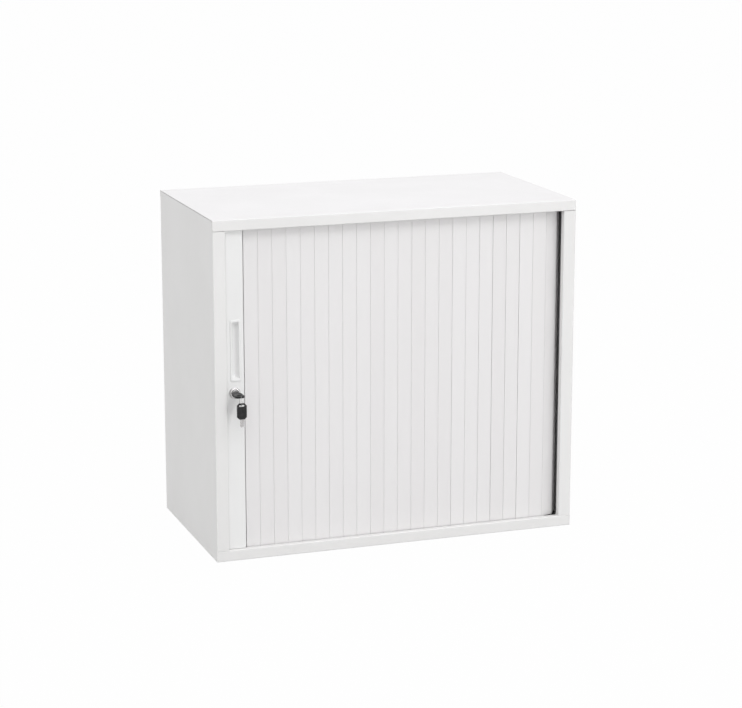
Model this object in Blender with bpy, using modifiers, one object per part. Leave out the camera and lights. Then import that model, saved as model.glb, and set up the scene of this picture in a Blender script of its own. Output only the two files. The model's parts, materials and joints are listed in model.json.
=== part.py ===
"""Tambour door cabinet: a folded steel carcass whose slatted curtain runs round its right front corner.

Metres. x runs to the right, y to the back and z up; the origin is under the middle of the carcass.
"""
import math

import bmesh
import bpy
from mathutils import Matrix, Vector

OBJECT_NAME = "tambour_door_cabinet"

# Carcass
WIDTH = 0.800
DEPTH = 0.420
HEIGHT = 0.720
SHEET = 0.001
BEND = 0.0018
BEND_STEPS = 3
GAP = 0.0003
LIP = 0.023
LIP_RETURN = 0.0135
LIP_FOOT = 0.012
SIDE_FLANGE = 0.027
SIDE_RETURN = 0.014
BACK_FLANGE = 0.015
FLOOR_LEVEL = 0.012
EDGE_PLAY = 0.0015
CHANNEL_WIDTH = 0.060

# False side and false back, which close off the curtain's way
SIDE_CAVITY = 0.0305
FRONT_CAVITY = 0.046
BACK_CAVITY = 0.045
LINER_HEM = 0.012

# Shelf and its clips
SHELF_LEVEL = 0.366
SHELF_SETBACK = 0.052
SHELF_PLAY = 0.0008
SHELF_FRONT_DROP = 0.020
SHELF_FRONT_HEM = 0.010
SHELF_BACK_DROP = 0.015
CLIP_WIDTH = 0.012
CLIP_DROP = 0.020
CLIP_REACH = 0.012
CLIP_INSET = 0.045

# Curtain
FLAT_SLATS = 22
CORNER_SLATS = 3
SLAT_THICKNESS = 0.006
SLAT_WALL = 0.0011
SLAT_FLANK = 0.0027
SLAT_SETBACK = 0.0165
SLAT_SIDE_SETBACK = 0.0145
SLAT_TUCK = 0.002
LAP_WIDTH = 0.0014
LAP_DEPTH = 0.0007
LAP_THICKNESS = 0.0010
CORNER_RADIUS = 0.046
PEG = 0.0026
PEG_INSET = 0.0062
PLUG_LENGTH = 0.004
TOP_PEG = 0.006

# Tracks that the curtain's pegs run in
GROOVE = 0.0062
TRACK_WALL = 0.0016
TRACK_FLOOR = 0.0022
TRACK_PLAY = 0.0008
TRACK_CORNER_STEPS = 9
BACK_RUN_END = 0.100

# Lead stile, which the hand pulls
STILE_WIDTH = 0.0362
STILE_STRIP = 0.0031
STRIP_GAP = 0.0009
STILE_SETBACK = 0.0085
STILE_DEPTH = 0.013
STILE_WALL = 0.0015
STILE_BEND = 0.0022
STILE_SIDE_PLAY = 0.0013
SHOE_HEIGHT = 0.030
SHOE_INSET = 0.0036

# Handle cup in the stile
CUP_LEVEL = 0.4468
CUP_OFFSET = 0.0190
CUP_WIDTH = 0.022
CUP_HEIGHT = 0.130
CUP_BORDER = 0.0037
CUP_END_BORDER = 0.006
CUP_PLATE = 0.0012
CUP_DEPTH = 0.0108
CUP_WALL = 0.0012
CUP_ROUND = 0.002
ROUND_STEPS = 4

# Cam lock below the handle
LOCK_LEVEL = 0.358
LOCK_OFFSET = 0.0167
ROSETTE_RADIUS = 0.012
ROSETTE_HEIGHT = 0.0022
ROSETTE_EDGE = 0.0008
HOUSING_RADIUS = 0.0090
HOUSING_FLANGE = 0.0103
HOUSING_FLANGE_HEIGHT = 0.0019
HOUSING_LENGTH = 0.0168
BARREL_RADIUS = 0.0068
BARREL_PROUD = 0.0006
TENON_RADIUS = 0.0030
NUT_RADIUS = 0.0125
NUT_HEIGHT = 0.004
CAM_THICKNESS = 0.002
CAM_HALF_WIDTH = 0.004
CAM_HUB_RADIUS = 0.0065
HOOK_INNER = 0.0215
HOOK_OUTER = 0.0265
HOOK_ANGLE = math.radians(20)
SCREW_HEAD_RADIUS = 0.0048
SCREW_HEAD_HEIGHT = 0.0020
SCREW_SHANK_RADIUS = 0.0015
SCREW_SHANK_LENGTH = 0.006
TURN_STEPS = 32

# Strike bracket on the left side, which the cam hooks behind
STRIKE_REACH = 0.0247
STRIKE_LEVEL = 0.376
STRIKE_DROP = 0.0133
STRIKE_BASE = 0.016
STRIKE_WIDTH = 0.013

# Key in the lock, the ring in its bow and the second key
KEY_WIDTH = 0.0202
KEY_BOW_LENGTH = 0.0335
KEY_THICKNESS = 0.004
KEY_CHAMFER = 0.0045
KEY_HOLE_WIDTH = 0.009
KEY_HOLE_LENGTH = 0.0085
KEY_RIM = 0.0035
BLADE_WIDTH = 0.0085
BLADE_THICKNESS = 0.002
BLADE_SEAT = 0.008
BLADE_LENGTH = 0.0165
KEY_STAND = 0.0022
RING_RADIUS = 0.0105
RING_WIRE = 0.0006
RING_OFFSET = 0.001
RING_HANG = 0.0006
SPARE_HANG = 0.0013
SPARE_OFFSET = 0.002
RING_SEGMENTS = 32
WIRE_SEGMENTS = 8

# Cuts run this far past what they cut
OVERRUN = 0.005
FRONT = -DEPTH / 2
REAR = DEPTH / 2
SIDE = WIDTH / 2
ROOF = HEIGHT - SHEET
TOP_LIP_LEVEL = HEIGHT - LIP

# Plan sections lie in x and y, profiles in y and z, and front outlines in x and z
PLAN = (Vector((1, 0, 0)), Vector((0, 1, 0)), Vector((0, 0, 1)))
PROFILE = (Vector((0, 1, 0)), Vector((0, 0, 1)), Vector((1, 0, 0)))
ELEVATION = (Vector((1, 0, 0)), Vector((0, 0, 1)), Vector((0, -1, 0)))


def clear_scene():
    for thing in list(bpy.data.objects):
        bpy.data.objects.remove(thing, do_unlink=True)


def new_collection(name):
    collection = bpy.data.collections.new(name)
    bpy.context.scene.collection.children.link(collection)
    return collection


clear_scene()
parts = new_collection(OBJECT_NAME)
cutters = new_collection("cutters")


def paint(name, colour, roughness, metallic=0.0):
    """A Principled material in one colour."""
    material = bpy.data.materials.new(name)
    material.use_nodes = True
    shader = material.node_tree.nodes["Principled BSDF"]
    shader.inputs["Base Color"].default_value = (*colour, 1.0)
    shader.inputs["Roughness"].default_value = roughness
    shader.inputs["Metallic"].default_value = metallic
    return material


def add_piece(name, mesh, material):
    """A named object for one piece, with its material."""
    piece = bpy.data.objects.new(name, mesh)
    if not mesh.materials:
        mesh.materials.append(material)
    parts.objects.link(piece)
    return piece


def as_cutter(piece):
    """Keep a shape only as a tool for cutting or joining."""
    for collection in list(piece.users_collection):
        collection.objects.unlink(piece)
    cutters.objects.link(piece)
    piece.hide_render = True
    piece.display_type = "WIRE"
    return piece


def combine(piece, tool, operation):
    modifier = piece.modifiers.new(tool.name, "BOOLEAN")
    modifier.operation = operation
    modifier.solver = "EXACT"
    modifier.object = as_cutter(tool)


def cut(piece, *tools):
    for tool in tools:
        combine(piece, tool, "DIFFERENCE")


def join(piece, *tools):
    for tool in tools:
        combine(piece, tool, "UNION")


def evaluated_mesh(piece):
    """The piece's mesh with its modifiers, and the caps of a curve welded."""
    bpy.context.view_layer.update()
    graph = bpy.context.evaluated_depsgraph_get()
    mesh = bpy.data.meshes.new_from_object(piece.evaluated_get(graph))
    mesh.transform(piece.matrix_world)
    work = bmesh.new()
    work.from_mesh(mesh)
    bmesh.ops.remove_doubles(work, verts=work.verts, dist=GAP / 30)
    work.to_mesh(mesh)
    work.free()
    return mesh


def box(name, low, high, material):
    """A block between two corners."""
    low = Vector(low)
    high = Vector(high)
    mesh = bpy.data.meshes.new(name)
    work = bmesh.new()
    stretch = Matrix.Diagonal((*(high - low), 1.0))
    bmesh.ops.create_cube(work, size=1.0, matrix=Matrix.Translation((low + high) / 2) @ stretch)
    work.to_mesh(mesh)
    work.free()
    return add_piece(name, mesh, material)


def bent_line(corners, radius, steps=BEND_STEPS):
    """Points along a sheet's section, with each inner corner turned into a round bend."""
    corners = [Vector(corner) for corner in corners]
    points = [corners[0]]
    for before, corner, after in zip(corners, corners[1:], corners[2:]):
        into = (corner - before).normalized()
        out = (after - corner).normalized()
        turn = math.atan2(into.x * out.y - into.y * out.x, into.dot(out))
        start = corner - into * radius * math.tan(abs(turn) / 2)
        inward = Vector((-into.y, into.x)) * math.copysign(radius, turn)
        centre = start + inward
        for step in range(steps + 1):
            swing = Matrix.Rotation(turn * step / steps, 2)
            points.append(centre + swing @ (start - centre))
    points.append(corners[-1])
    return points


def folded_sheet(name, corners, plane, start, end, material, thickness=SHEET, radius=BEND):
    """Sheet bent along corners and drawn out from start to end, with its thickness on the right."""
    u, v, w = plane
    line = bent_line(corners, radius)
    mesh = bpy.data.meshes.new(name)
    work = bmesh.new()
    near = [work.verts.new(u * p.x + v * p.y + w * start) for p in line]
    for left, right in zip(near, near[1:]):
        work.edges.new((left, right))
    drawn = bmesh.ops.extrude_edge_only(work, edges=work.edges[:])
    moved = [item for item in drawn["geom"] if isinstance(item, bmesh.types.BMVert)]
    bmesh.ops.translate(work, verts=moved, vec=w * (end - start))
    work.normal_update()
    along = u * (line[1] - line[0]).x + v * (line[1] - line[0]).y
    if near[0].link_edges[0].link_faces[0].normal.dot(w.cross(along)) < 0:
        bmesh.ops.reverse_faces(work, faces=work.faces[:])
    work.to_mesh(mesh)
    work.free()
    piece = add_piece(name, mesh, material)
    wall = piece.modifiers.new("sheet", "SOLIDIFY")
    wall.thickness = thickness
    wall.offset = -1
    wall.use_even_offset = True
    return piece


def flat_piece(name, loops, plane, start, end, material):
    """An outline with any holes, drawn out square to its plane from start to end."""
    u, v, w = plane
    curve = bpy.data.curves.new(name, "CURVE")
    curve.dimensions = "2D"
    curve.fill_mode = "BOTH"
    curve.extrude = abs(end - start) / 2
    for loop in loops:
        spline = curve.splines.new("POLY")
        spline.points.add(len(loop) - 1)
        for point, place in zip(spline.points, loop):
            point.co = (place[0], place[1], 0.0, 1.0)
        spline.use_cyclic_u = True
    drawing = bpy.data.objects.new(name, curve)
    parts.objects.link(drawing)
    turn = Matrix((u, v, w)).transposed().to_4x4()
    drawing.matrix_world = Matrix.Translation(w * (start + end) / 2) @ turn
    mesh = evaluated_mesh(drawing)
    bpy.data.objects.remove(drawing)
    mesh.materials.clear()
    return add_piece(name, mesh, material)


def arc(centre, radius, start, end, steps):
    """Points on an arc, angles counted from +x towards +y of its plane."""
    points = []
    for step in range(steps + 1):
        angle = start + (end - start) * step / steps
        points.append(Vector(centre) + radius * Vector((math.cos(angle), math.sin(angle))))
    return points


def circle(centre, radius, steps=TURN_STEPS):
    return arc(centre, radius, 0.0, math.tau, steps)[:-1]


def rounded_rectangle(centre, width, height, radius):
    points = []
    for turn, (side, end) in enumerate(((1, 1), (-1, 1), (-1, -1), (1, -1))):
        corner = (centre[0] + side * (width / 2 - radius), centre[1] + end * (height / 2 - radius))
        points += arc(corner, radius, turn * math.pi / 2, (turn + 1) * math.pi / 2, ROUND_STEPS)
    return points


def turned(name, profile, place, material, closed=False):
    """A profile of (radius, depth) points turned round an axis that runs from front to back."""
    mesh = bpy.data.meshes.new(name)
    work = bmesh.new()
    verts = [work.verts.new((radius, 0.0, depth)) for radius, depth in profile]
    for first, second in zip(verts, verts[1:]):
        work.edges.new((first, second))
    if closed:
        work.edges.new((verts[-1], verts[0]))
    work.to_mesh(mesh)
    work.free()
    piece = add_piece(name, mesh, material)
    piece.matrix_world = Matrix.Translation(place) @ Matrix.Rotation(-math.pi / 2, 4, "X")
    screw = piece.modifiers.new("turn", "SCREW")
    screw.axis = "Z"
    screw.steps = TURN_STEPS
    screw.render_steps = TURN_STEPS
    screw.use_merge_vertices = True
    screw.merge_threshold = GAP / 30
    return piece


def pivot(name, place):
    """An empty on a joint's axis."""
    empty = bpy.data.objects.new(name, None)
    empty.location = place
    parts.objects.link(empty)
    return empty


def hang_on(empty, *pieces):
    """Parent pieces to an empty where they stand."""
    for piece in pieces:
        piece.parent = empty
        piece.matrix_parent_inverse = Matrix.Translation(empty.location).inverted()


def mirrored_span(side, near, far):
    """The x range from near to far, on the left for side -1 and on the right for side 1."""
    return min(side * near, side * far), max(side * near, side * far)


white_steel = paint("white_steel", (0.90, 0.90, 0.89), 0.42)
slat_plastic = paint("slat_plastic", (0.86, 0.86, 0.88), 0.5)
stile_plastic = paint("stile_plastic", (0.90, 0.90, 0.90), 0.45)
black_plastic = paint("black_plastic", (0.015, 0.015, 0.016), 0.45)
lock_metal = paint("lock_metal", (0.78, 0.78, 0.76), 0.22, 1.0)
zinc_steel = paint("zinc_steel", (0.62, 0.62, 0.60), 0.38, 1.0)
key_plastic = paint("key_plastic", (0.012, 0.012, 0.013), 0.38)


# Carcass
# The sides' front flanges and the web's front edge stop short of the lips, which lap over them.

def side_panel(name, side):
    """One side: its web with a front flange that turns back inwards and a flange at the rear."""
    corners = [
        (side * (SIDE - SIDE_FLANGE), FRONT + SIDE_RETURN),
        (side * (SIDE - SIDE_FLANGE), FRONT),
        (side * SIDE, FRONT),
        (side * SIDE, REAR),
        (side * (SIDE - BACK_FLANGE), REAR),
    ]
    if side > 0:
        corners.reverse()
    panel = folded_sheet(name, corners, PLAN, 0.0, ROOF - GAP, white_steel)
    whole = mirrored_span(side, SIDE - SIDE_FLANGE - OVERRUN, SIDE + OVERRUN)
    inside = mirrored_span(side, SIDE - SIDE_FLANGE - OVERRUN, SIDE - EDGE_PLAY)
    lip_back = FRONT + SHEET + GAP
    return_back = FRONT + SIDE_RETURN + OVERRUN
    above = (TOP_LIP_LEVEL - GAP, HEIGHT + OVERRUN)
    below = (-OVERRUN, LIP + GAP)
    for level, (low, high) in (("top", above), ("base", below)):
        edge_low = (whole[0], FRONT - OVERRUN, low)
        fold_low = (inside[0], FRONT - OVERRUN, low)
        edge = box(f"{name}_{level}_edge_cut", edge_low, (whole[1], lip_back, high), white_steel)
        fold = box(f"{name}_{level}_fold_cut", fold_low, (inside[1], return_back, high), white_steel)
        cut(panel, edge, fold)
    flange_front = REAR - SHEET - GAP
    cut(panel, box(
        f"{name}_rear_top_cut",
        (whole[0], flange_front, HEIGHT - BACK_FLANGE - GAP),
        (whole[1], REAR + OVERRUN, HEIGHT),
        white_steel,
    ))
    cut(panel, box(
        f"{name}_rear_base_cut",
        (inside[0], flange_front - OVERRUN, -OVERRUN),
        (inside[1], REAR + OVERRUN, FLOOR_LEVEL + GAP),
        white_steel,
    ))
    return panel


def ends_inside(panel, name, low, high):
    """Cut a full-width sheet back between the webs of the two sides, over a range of y and z."""
    for side, word in ((-1, "left"), (1, "right")):
        near, far = mirrored_span(side, SIDE - EDGE_PLAY, SIDE + OVERRUN)
        cut(panel, box(f"{name}_{word}_end_cut", (near, *low), (far, *high), white_steel))


side_panel("left_side", -1)
side_panel("right_side", 1)

top_corners = [
    (FRONT + LIP_RETURN, TOP_LIP_LEVEL),
    (FRONT, TOP_LIP_LEVEL),
    (FRONT, HEIGHT),
    (REAR, HEIGHT),
    (REAR, HEIGHT - BACK_FLANGE),
]
top_panel = folded_sheet("top_panel", top_corners, PROFILE, -SIDE, SIDE, white_steel)
ends_inside(
    top_panel,
    "top_panel",
    (FRONT + SHEET, TOP_LIP_LEVEL - OVERRUN),
    (FRONT + LIP_RETURN + OVERRUN, TOP_LIP_LEVEL + BEND),
)

base_corners = [
    (FRONT + LIP_FOOT, 0.0),
    (FRONT, 0.0),
    (FRONT, LIP),
    (FRONT + LIP_RETURN, LIP),
    (FRONT + LIP_RETURN, FLOOR_LEVEL),
    (REAR, FLOOR_LEVEL),
    (REAR, 0.0),
]
bottom_panel = folded_sheet("bottom_panel", base_corners, PROFILE, -SIDE, SIDE, white_steel)
ends_inside(bottom_panel, "bottom_panel", (FRONT + SHEET, -OVERRUN), (REAR + OVERRUN, LIP + OVERRUN))

channel_corners = [
    (CHANNEL_WIDTH / 2, FLOOR_LEVEL - SHEET - GAP),
    (CHANNEL_WIDTH / 2, 0.0),
    (-CHANNEL_WIDTH / 2, 0.0),
    (-CHANNEL_WIDTH / 2, FLOOR_LEVEL - SHEET - GAP),
]
folded_sheet("base_channel", channel_corners, PROFILE, EDGE_PLAY - SIDE, SIDE - EDGE_PLAY, white_steel)

back_face = REAR - SHEET - GAP
box(
    "back_panel",
    (EDGE_PLAY + GAP - SIDE, back_face - SHEET, FLOOR_LEVEL + GAP),
    (SIDE - EDGE_PLAY - GAP, back_face, ROOF - EDGE_PLAY),
    white_steel,
)


# False side and false back

liner_x = SIDE - SIDE_CAVITY
liner_front = FRONT + FRONT_CAVITY
liner_back = REAR - BACK_CAVITY
inner_low = FLOOR_LEVEL + GAP
inner_high = ROOF - GAP
side_liner_corners = [
    (liner_x, liner_back - GAP),
    (liner_x, liner_front),
    (liner_x - LINER_HEM, liner_front),
]
folded_sheet("side_liner", side_liner_corners, PLAN, inner_low, inner_high, white_steel)
back_liner_corners = [
    (liner_x, liner_back),
    (EDGE_PLAY - SIDE, liner_back),
    (EDGE_PLAY - SIDE, liner_back + LINER_HEM),
]
folded_sheet("back_liner", back_liner_corners, PLAN, inner_low, inner_high, white_steel)


# Shelf on four clips

shelf_front = FRONT + SHELF_SETBACK
shelf_back = liner_back - SHELF_PLAY
shelf_left = SHEET + SHELF_PLAY - SIDE
shelf_right = liner_x - SHEET - SHELF_PLAY
shelf_corners = [
    (shelf_front + SHELF_FRONT_HEM, SHELF_LEVEL - SHELF_FRONT_DROP),
    (shelf_front, SHELF_LEVEL - SHELF_FRONT_DROP),
    (shelf_front, SHELF_LEVEL),
    (shelf_back, SHELF_LEVEL),
    (shelf_back, SHELF_LEVEL - SHELF_BACK_DROP),
]
folded_sheet("shelf", shelf_corners, PROFILE, shelf_left, shelf_right, white_steel)


def shelf_clip(name, side, wall, y):
    """A bent clip on a wall, whose leg carries the shelf."""
    seat = SHELF_LEVEL - SHEET - GAP
    corners = [(wall, seat - CLIP_DROP), (wall, seat), (wall - side * CLIP_REACH, seat)]
    if side > 0:
        corners.reverse()
    folded_sheet(name, corners, ELEVATION, -y - CLIP_WIDTH / 2, CLIP_WIDTH / 2 - y, zinc_steel)


left_wall = SHEET + GAP - SIDE
right_wall = liner_x - SHEET - GAP
for word, clip_y in (("front", shelf_front + CLIP_INSET), ("rear", shelf_back - CLIP_INSET)):
    shelf_clip(f"shelf_clip_{word}_left", -1, left_wall, clip_y)
    shelf_clip(f"shelf_clip_{word}_right", 1, right_wall, clip_y)


# The curtain's way, seen from above: along the front, round two corners and along the back

slat_face = FRONT + SLAT_SETBACK
side_face = SIDE - SLAT_SIDE_SETBACK
corner_x = side_face - CORNER_RADIUS
front_corner = Vector((corner_x, slat_face + CORNER_RADIUS))
rear_corner = Vector((corner_x, -slat_face - CORNER_RADIUS))
slat_low = LIP - SLAT_TUCK
slat_high = HEIGHT - slat_low
stile_left = STILE_SIDE_PLAY + SIDE_FLANGE - SIDE
stile_right = stile_left + STILE_WIDTH
first_joint = stile_right + STILE_STRIP + STRIP_GAP
pitch = (corner_x - first_joint) / FLAT_SLATS


def way(offset, start, end):
    """The line that lies offset outside the slats' faces, between an x at the front and an x at the back."""
    radius = CORNER_RADIUS + offset
    line = [Vector((start, slat_face - offset))]
    line += arc(front_corner, radius, -math.pi / 2, 0.0, TRACK_CORNER_STEPS)
    line += arc(rear_corner, radius, 0.0, math.pi / 2, TRACK_CORNER_STEPS)
    line.append(Vector((end, -slat_face + offset)))
    return line


def way_outline(half_width, start, end):
    middle = -SLAT_THICKNESS / 2
    return way(middle + half_width, start, end) + way(middle - half_width, start, end)[::-1]


def track(name, low, high, groove_low, groove_high):
    """A channel along the whole way in three lengths, with a groove that is closed at its two far ends."""
    start = stile_left - GAP
    end = BACK_RUN_END - SIDE
    outside = way_outline(GROOVE / 2 + TRACK_WALL, start, end)
    groove = way_outline(GROOVE / 2, start + TRACK_WALL, end + TRACK_WALL)
    seam = GAP / 2
    lengths = {
        "front": ((-SIDE, FRONT), (corner_x - seam, front_corner.y)),
        "corner": ((corner_x + seam, FRONT), (SIDE, front_corner.y - seam)),
        "rear": ((-SIDE, front_corner.y + seam), (SIDE, REAR)),
    }
    for word, (near, far) in lengths.items():
        body = flat_piece(f"{name}_{word}", [outside], PLAN, low, high, black_plastic)
        cut(body, flat_piece(f"{name}_{word}_groove", [groove], PLAN, groove_low, groove_high, black_plastic))
        length = box(f"{name}_{word}_length", (*near, low - GAP), (*far, high + GAP), black_plastic)
        combine(body, length, "INTERSECT")


groove_floor = FLOOR_LEVEL + GAP + TRACK_FLOOR
track("bottom_track", FLOOR_LEVEL + GAP, slat_low - TRACK_PLAY, groove_floor, slat_low)
track("top_track", slat_high + TRACK_PLAY, ROOF - GAP, slat_high, ROOF - GAP - TRACK_FLOOR)


# Slats, drawn with the left end of the face on the joint line

def slat_section():
    """The hollow section: a face with slanted flanks behind it and a thin lap on the right."""
    end = pitch - LAP_WIDTH - GAP
    lap_end = pitch - 2 * GAP
    lap_back = LAP_DEPTH + LAP_THICKNESS
    lap_root = end - SLAT_FLANK * lap_back / SLAT_THICKNESS
    outside = [
        (0.0, 0.0),
        (end, 0.0),
        (end, LAP_DEPTH),
        (lap_end, LAP_DEPTH),
        (lap_end - LAP_THICKNESS / 2, lap_back),
        (lap_root, lap_back),
        (end - SLAT_FLANK, SLAT_THICKNESS),
        (SLAT_FLANK, SLAT_THICKNESS),
    ]
    slant = SLAT_FLANK / SLAT_THICKNESS
    side_wall = SLAT_WALL * math.hypot(1.0, slant)
    inner_back = SLAT_THICKNESS - SLAT_WALL
    hollow = [
        (slant * SLAT_WALL + side_wall, SLAT_WALL),
        (end - slant * SLAT_WALL - side_wall, SLAT_WALL),
        (end - slant * inner_back - side_wall, inner_back),
        (slant * inner_back + side_wall, inner_back),
    ]
    return [outside, hollow]


def make_slat_mesh():
    """One slat with a plug in each end, whose peg stands behind the joint line in the groove."""
    slat = flat_piece("slat", slat_section(), PLAN, slat_low, slat_high, slat_plastic)
    middle = SLAT_THICKNESS / 2
    reach = middle - SLAT_WALL / 2
    ends = (("lower", slat_low, groove_floor + GAP), ("upper", slat_high, slat_high + TOP_PEG))
    for word, end, tip in ends:
        root = end + math.copysign(PLUG_LENGTH, end - tip)
        plug_low, plug_high = sorted((end, root))
        peg_low, peg_high = sorted((tip, (end + root) / 2))
        plug = box(
            f"slat_{word}_plug",
            (PEG_INSET - PEG, middle - reach, plug_low),
            (PEG_INSET + PEG, middle + reach, plug_high),
            slat_plastic,
        )
        peg = box(
            f"slat_{word}_peg",
            (PEG_INSET - PEG / 2, middle - PEG / 2, peg_low),
            (PEG_INSET + PEG / 2, middle + PEG / 2, peg_high),
            slat_plastic,
        )
        join(slat, plug, peg)
    mesh = evaluated_mesh(slat)
    mesh.name = "slat"
    for tool in [modifier.object for modifier in slat.modifiers] + [slat]:
        bpy.data.objects.remove(tool)
    return mesh


def face_point(distance):
    """A point of the slats' faces at a distance along the way from the first joint."""
    flat = corner_x - first_joint
    quarter = CORNER_RADIUS * math.pi / 2
    if distance <= flat:
        return Vector((first_joint + distance, slat_face))
    if distance <= flat + quarter:
        angle = (distance - flat) / CORNER_RADIUS
        return front_corner + CORNER_RADIUS * Vector((math.sin(angle), -math.cos(angle)))
    return Vector((side_face, front_corner.y + distance - flat - quarter))


def next_joint(distance):
    """The distance along the way at which a slat that starts at this one ends."""
    near = distance
    far = distance + pitch * math.pi
    start = face_point(distance)
    for _ in range(50):
        middle = (near + far) / 2
        if (face_point(middle) - start).length < pitch:
            near = middle
        else:
            far = middle
    return (near + far) / 2


slat_mesh = make_slat_mesh()
joint_distance = 0.0
slats = []
for number in range(1, FLAT_SLATS + CORNER_SLATS + 1):
    ahead = next_joint(joint_distance)
    left_end = face_point(joint_distance)
    along = face_point(ahead) - left_end
    slat = add_piece(f"slat_{number:02d}", slat_mesh, slat_plastic)
    slat.location = (left_end.x, left_end.y, 0.0)
    slat.rotation_euler.z = math.atan2(along.y, along.x)
    slats.append(slat)
    joint_distance = ahead


# Lead stile with its shoes and handle cup

stile_face = FRONT + STILE_SETBACK
stile_back = stile_face + STILE_DEPTH
stile_low = LIP + EDGE_PLAY
stile_high = HEIGHT - stile_low
stile_corners = [
    (stile_right + STILE_STRIP, slat_face),
    (stile_right, slat_face),
    (stile_right, stile_face),
    (stile_left, stile_face),
    (stile_left, stile_back),
]
lead_stile = folded_sheet(
    "lead_stile", stile_corners, PLAN, stile_low, stile_high, stile_plastic, STILE_WALL, STILE_BEND,
)


def front_piece(name, loops, front, back, material):
    """An outline in x and z, drawn out from front to back."""
    return flat_piece(name, loops, ELEVATION, -back, -front, material)


def stile_shoe(name, flip):
    """A block in the stile's open end, with a tongue in the track's groove."""
    def level(z):
        return HEIGHT - z if flip else z

    def between(first, second):
        return min(level(first), level(second)), max(level(first), level(second))

    groove_y = slat_face + SLAT_THICKNESS / 2
    inside = STILE_WALL + GAP
    low, high = between(stile_low, stile_low + SHOE_HEIGHT)
    block = box(
        name,
        (stile_left + inside, stile_face + inside, low),
        (stile_right - inside, stile_back - GAP, high),
        black_plastic,
    )
    tongue_end = slat_low - TOP_PEG if flip else groove_floor + GAP
    low, high = between(tongue_end, stile_low + SHOE_HEIGHT / 2)
    tongue = box(
        f"{name}_tongue",
        (stile_left + SHOE_INSET, groove_y - PEG / 2, low),
        (stile_right - SHOE_INSET, groove_y + PEG / 2, high),
        black_plastic,
    )
    join(block, tongue)
    return block


shoe_bottom = stile_shoe("stile_shoe_bottom", False)
shoe_top = stile_shoe("stile_shoe_top", True)

cup_centre = (stile_left + CUP_OFFSET, CUP_LEVEL)
cup_plate_front = stile_face - GAP - CUP_PLATE
recess_width = CUP_WIDTH - 2 * CUP_BORDER
recess_height = CUP_HEIGHT - 2 * CUP_END_BORDER
recess_floor = cup_plate_front + CUP_DEPTH
body_width = recess_width + 2 * CUP_WALL
body_height = recess_height + 2 * CUP_WALL
handle_cup = front_piece(
    "handle_cup",
    [rounded_rectangle(cup_centre, CUP_WIDTH, CUP_HEIGHT, CUP_ROUND)],
    cup_plate_front,
    stile_face - GAP,
    stile_plastic,
)
join(handle_cup, front_piece(
    "handle_cup_body",
    [rounded_rectangle(cup_centre, body_width, body_height, CUP_ROUND)],
    cup_plate_front + CUP_PLATE / 2,
    recess_floor + CUP_WALL,
    stile_plastic,
))
cut(handle_cup, front_piece(
    "handle_cup_recess",
    [rounded_rectangle(cup_centre, recess_width, recess_height, CUP_ROUND)],
    cup_plate_front - OVERRUN,
    recess_floor,
    stile_plastic,
))
cut(lead_stile, front_piece(
    "handle_opening",
    [rounded_rectangle(cup_centre, body_width + 2 * GAP, body_height + 2 * GAP, CUP_ROUND + GAP)],
    stile_face - OVERRUN,
    stile_face + OVERRUN,
    stile_plastic,
))


# Cam lock, with depths counted from the stile's face towards the back

lock_x = stile_left + LOCK_OFFSET
lock_place = Vector((lock_x, stile_face, LOCK_LEVEL))
lock_centre = (lock_x, LOCK_LEVEL)
rosette_front = -GAP - ROSETTE_HEIGHT
flange_back = rosette_front - GAP
housing_front = flange_back - HOUSING_FLANGE_HEIGHT
housing_back = flange_back + HOUSING_LENGTH
barrel_front = housing_front - BARREL_PROUD
shoulder = housing_back + GAP
cam_front = shoulder + GAP
cam_back = cam_front + CAM_THICKNESS
screw_front = cam_back + GAP
housing_bore = BARREL_RADIUS + GAP
fit_radius = HOUSING_RADIUS + GAP

cut(lead_stile, front_piece(
    "lock_opening",
    [circle(lock_centre, fit_radius)],
    stile_face - OVERRUN,
    stile_face + OVERRUN,
    stile_plastic,
))
lock_rosette = turned("lock_rosette", [
    (ROSETTE_RADIUS, -GAP),
    (ROSETTE_RADIUS, rosette_front + ROSETTE_EDGE),
    (ROSETTE_RADIUS - ROSETTE_EDGE, rosette_front),
    (fit_radius, rosette_front),
    (fit_radius, -GAP),
], lock_place, lock_metal, closed=True)
lock_housing = turned("lock_housing", [
    (HOUSING_RADIUS, housing_back),
    (HOUSING_RADIUS, flange_back),
    (HOUSING_FLANGE, flange_back),
    (HOUSING_FLANGE, housing_front + ROSETTE_EDGE),
    (HOUSING_FLANGE - ROSETTE_EDGE, housing_front),
    (housing_bore, housing_front),
    (housing_bore, housing_back),
], lock_place, lock_metal, closed=True)
nut_front = stile_face + STILE_WALL + GAP
lock_nut = front_piece(
    "lock_nut",
    [circle(lock_centre, NUT_RADIUS, 6), circle(lock_centre, fit_radius)],
    nut_front,
    nut_front + NUT_HEIGHT,
    zinc_steel,
)
bore_radius = SCREW_SHANK_RADIUS + GAP
bore_end = screw_front - SCREW_SHANK_LENGTH - GAP
lock_barrel = turned("lock_barrel", [
    (0.0, bore_end),
    (bore_radius, bore_end),
    (bore_radius, cam_back),
    (TENON_RADIUS, cam_back),
    (TENON_RADIUS, shoulder),
    (BARREL_RADIUS, shoulder),
    (BARREL_RADIUS, barrel_front),
    (0.0, barrel_front),
], lock_place, lock_metal)
cam_screw = turned("cam_screw", [
    (0.0, screw_front + SCREW_HEAD_HEIGHT),
    (SCREW_HEAD_RADIUS - ROSETTE_EDGE, screw_front + SCREW_HEAD_HEIGHT),
    (SCREW_HEAD_RADIUS, screw_front + SCREW_HEAD_HEIGHT - ROSETTE_EDGE),
    (SCREW_HEAD_RADIUS, screw_front),
    (SCREW_SHANK_RADIUS, screw_front),
    (SCREW_SHANK_RADIUS, screw_front - SCREW_SHANK_LENGTH),
    (0.0, screw_front - SCREW_SHANK_LENGTH),
], lock_place, zinc_steel)


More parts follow.
